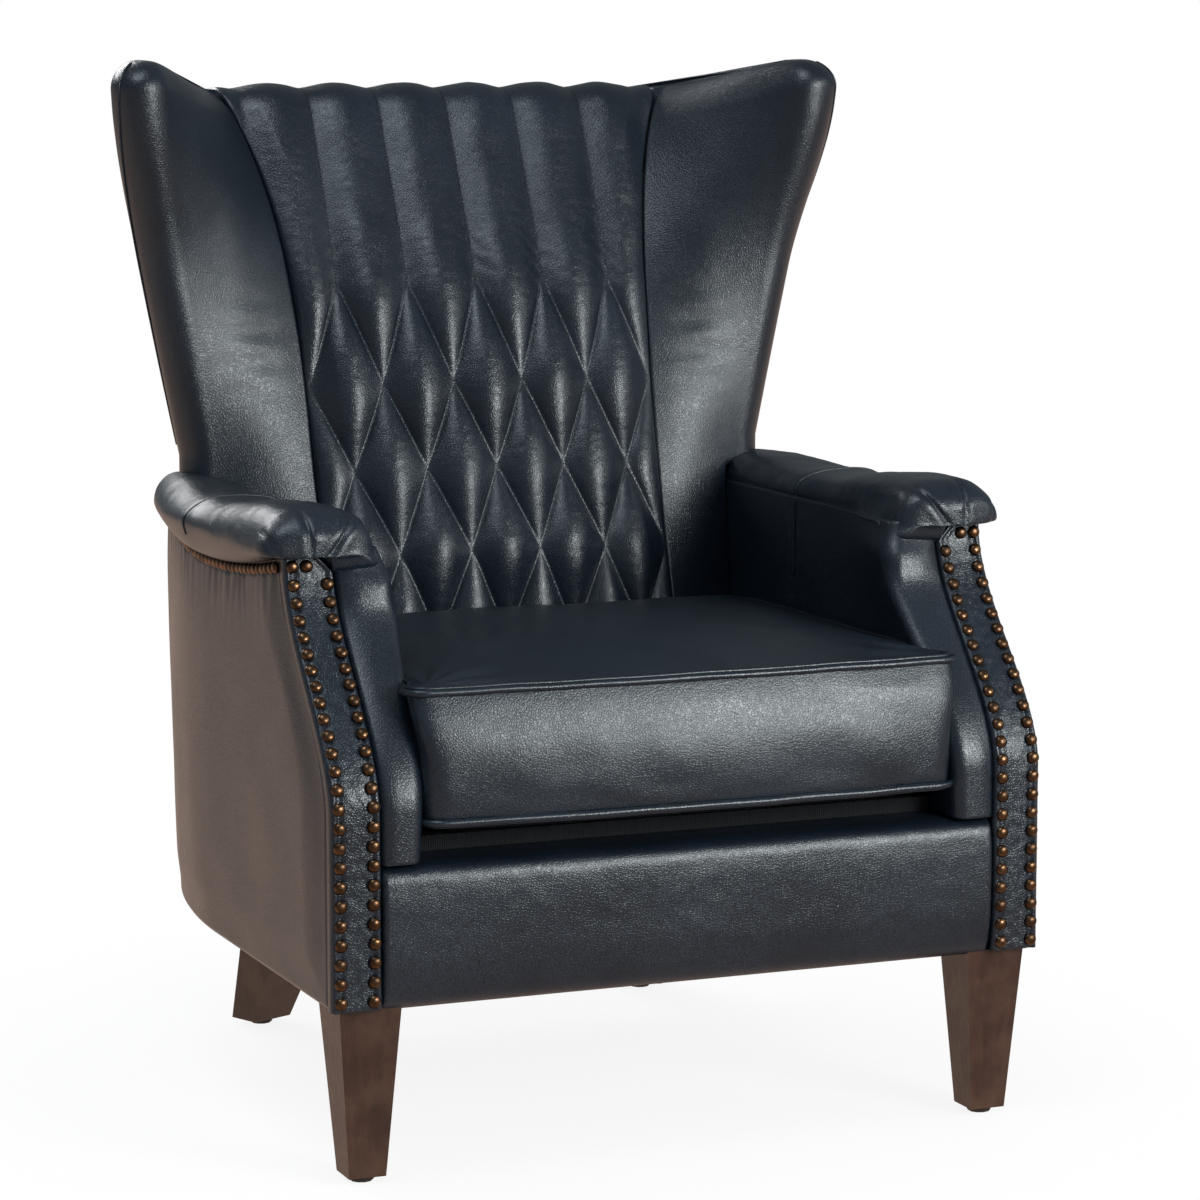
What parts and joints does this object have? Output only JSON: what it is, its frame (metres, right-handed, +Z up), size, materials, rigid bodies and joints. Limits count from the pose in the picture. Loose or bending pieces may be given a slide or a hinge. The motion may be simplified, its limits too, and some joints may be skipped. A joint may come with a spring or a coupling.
{
  "type": "wingback armchair",
  "caption": "Leather wing chair with a channelled and diamond-tufted back, rolled arms with nailed fronts, a loose box seat cushion and tapered wooden legs.",
  "frame": {"origin": "on the floor, under the middle of the chair's width and depth", "axes": "+X to the right of someone who looks at the chair's front, +Y from the front to the back, +Z up"},
  "size_m": [0.8058, 0.79, 1.04],
  "materials": {
    "leather": "glossy full-grain leather, near-black navy",
    "piping": "glossy leather welt, near-black navy",
    "leg_wood": "satin walnut stain with worn edges",
    "frame_wood": "raw hardwood",
    "steel": "satin",
    "nail_metal": "antique bronze, satin",
    "glide": "matte black",
    "black_cloth": "woven, matte black",
    "deck_cloth": "woven, dark grey",
    "webbing": "woven jute"
  },
  "bodies": {
    "chair": {"right_front_leg": "leg_wood", "left_front_leg": "leg_wood", "right_front_leg_bolt": "steel", "left_front_leg_bolt": "steel", "right_front_glide": "glide", "left_front_glide": "glide", "right_rear_leg": "leg_wood", "left_rear_leg": "leg_wood", "right_rear_leg_bolt": "steel", "left_rear_leg_bolt": "steel", "right_rear_glide": "glide", "left_rear_glide": "glide", "right_arm_stump": "frame_wood", "left_arm_stump": "frame_wood", "right_side_rail": "frame_wood", "left_side_rail": "frame_wood", "right_back_frame": "frame_wood", "left_back_frame": "frame_wood", "right_rear_leg_block": "frame_wood", "left_rear_leg_block": "frame_wood", "right_arm_board": "frame_wood", "left_arm_board": "frame_wood", "right_arm_pad": "leather", "left_arm_pad": "leather", "right_wing_board": "frame_wood", "left_wing_board": "frame_wood", "right_arm_roll": "leather", "left_arm_roll": "leather", "right_wing_pad": "leather", "left_wing_pad": "leather", "right_outer_wing": "leather", "left_outer_wing": "leather", "right_outer_arm": "leather", "left_outer_arm": "leather", "right_arm_facing": "leather", "left_arm_facing": "leather", "right_facing_nails": "nail_metal", "left_facing_nails": "nail_metal", "right_roll_nails": "nail_metal", "left_roll_nails": "nail_metal", "front_rail": "frame_wood", "seat_back_rail": "frame_wood", "rear_rail": "frame_wood", "lower_back_rail": "frame_wood", "top_back_rail": "frame_wood", "back_strap_1": "webbing", "back_strap_2": "webbing", "back_strap_3": "webbing", "seat_spring_1": "steel", "seat_spring_2": "steel", "seat_spring_3": "steel", "seat_spring_4": "steel", "seat_deck": "deck_cloth", "dust_cover": "black_cloth", "front_rail_cover": "leather", "outer_back": "leather", "back_pad": "leather"},
    "seat_cushion": {"seat_cushion": "leather", "cushion_top_piping": "piping", "cushion_bottom_piping": "piping"}
  },
  "joints": [
    {"name": "cushion_lift", "type": "slide", "parent": "chair", "child": "seat_cushion", "axis": [0, 0, 1], "range_m": [0, 0.5]}
  ]
}
